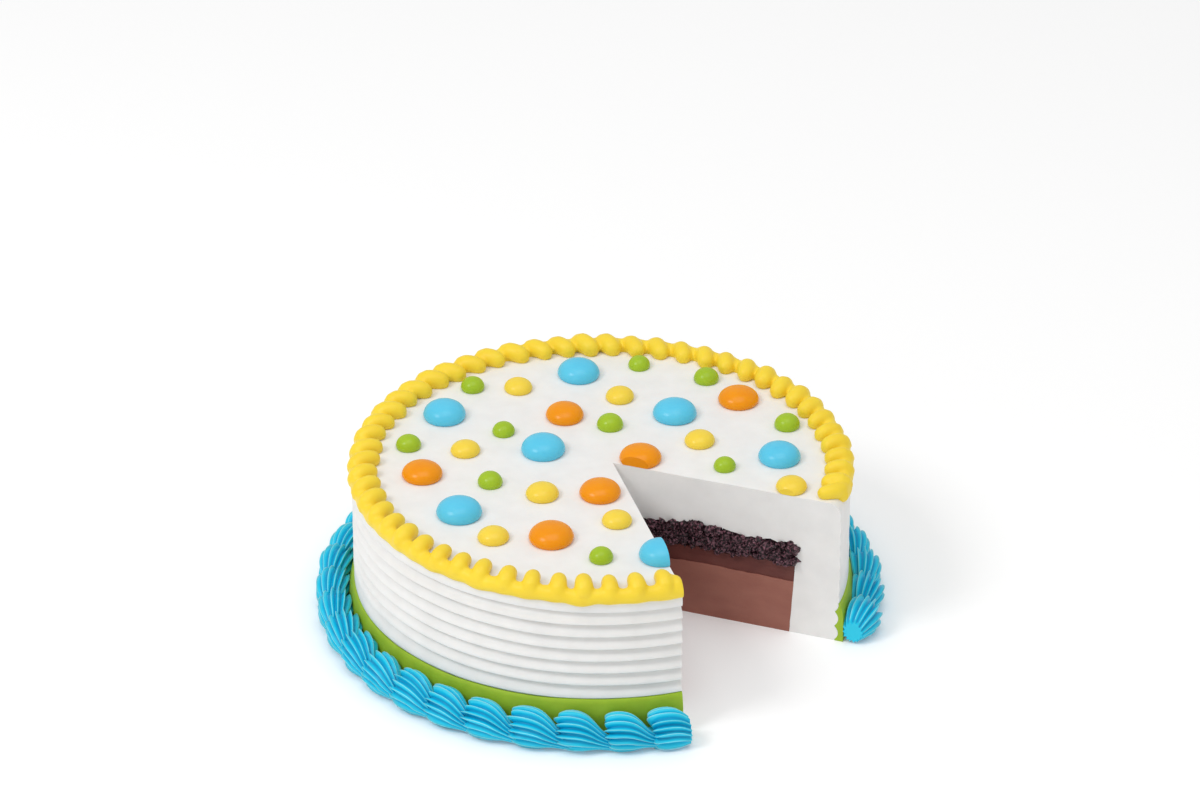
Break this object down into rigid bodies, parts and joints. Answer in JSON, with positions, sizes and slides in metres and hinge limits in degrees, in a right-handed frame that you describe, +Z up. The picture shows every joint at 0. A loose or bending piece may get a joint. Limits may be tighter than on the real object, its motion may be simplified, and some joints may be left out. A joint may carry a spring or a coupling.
{
  "type": "ice cream cake",
  "caption": "Round layered ice cream cake with combed white icing, piped yellow and blue borders, coloured dots on top and one wedge cut out to show its layers.",
  "frame": {"origin": "centre of the cake's round base, on the plane it stands on", "axes": "+Z up through the cake; the cut-out wedge opens towards +X and -Y, at the front right"},
  "size_m": [0.2342, 0.2351, 0.071],
  "materials": {
    "white_cream": "smooth, softly matte",
    "cookie_crumb": "coarse dark crumbs, dull",
    "fudge": "dense, faint sheen",
    "chocolate_cream": "smooth frozen cream, cut",
    "green_icing": "smooth icing, faint sheen",
    "yellow_icing": "piped icing, faint sheen",
    "blue_icing": "piped icing with fine ridges",
    "blue_dot_icing": "smooth icing, soft gloss",
    "orange_dot_icing": "smooth icing, soft gloss",
    "yellow_dot_icing": "smooth icing, soft gloss",
    "green_dot_icing": "smooth icing, soft gloss"
  },
  "bodies": {
    "root": {"white_ice_cream": "white_cream", "cookie_crumb_layer": "cookie_crumb", "fudge_layer": "fudge", "chocolate_ice_cream": "chocolate_cream", "green_base_icing": "green_icing", "yellow_rim_border": "yellow_icing", "blue_shell_border": "blue_icing", "blue_dot_1": "blue_dot_icing", "blue_dot_2": "blue_dot_icing", "blue_dot_3": "blue_dot_icing", "blue_dot_4": "blue_dot_icing", "blue_dot_5": "blue_dot_icing", "blue_dot_6": "blue_dot_icing", "blue_dot_7": "blue_dot_icing", "orange_dot_1": "orange_dot_icing", "orange_dot_2": "orange_dot_icing", "orange_dot_3": "orange_dot_icing", "orange_dot_4": "orange_dot_icing", "orange_dot_5": "orange_dot_icing", "orange_dot_6": "orange_dot_icing", "yellow_dot_1": "yellow_dot_icing", "yellow_dot_2": "yellow_dot_icing", "yellow_dot_3": "yellow_dot_icing", "yellow_dot_4": "yellow_dot_icing", "yellow_dot_5": "yellow_dot_icing", "yellow_dot_6": "yellow_dot_icing", "yellow_dot_7": "yellow_dot_icing", "yellow_dot_8": "yellow_dot_icing", "green_dot_1": "green_dot_icing", "green_dot_2": "green_dot_icing", "green_dot_3": "green_dot_icing", "green_dot_4": "green_dot_icing", "green_dot_5": "green_dot_icing", "green_dot_6": "green_dot_icing", "green_dot_7": "green_dot_icing", "green_dot_8": "green_dot_icing", "green_dot_9": "green_dot_icing", "green_dot_10": "green_dot_icing"}
  },
  "joints": []
}
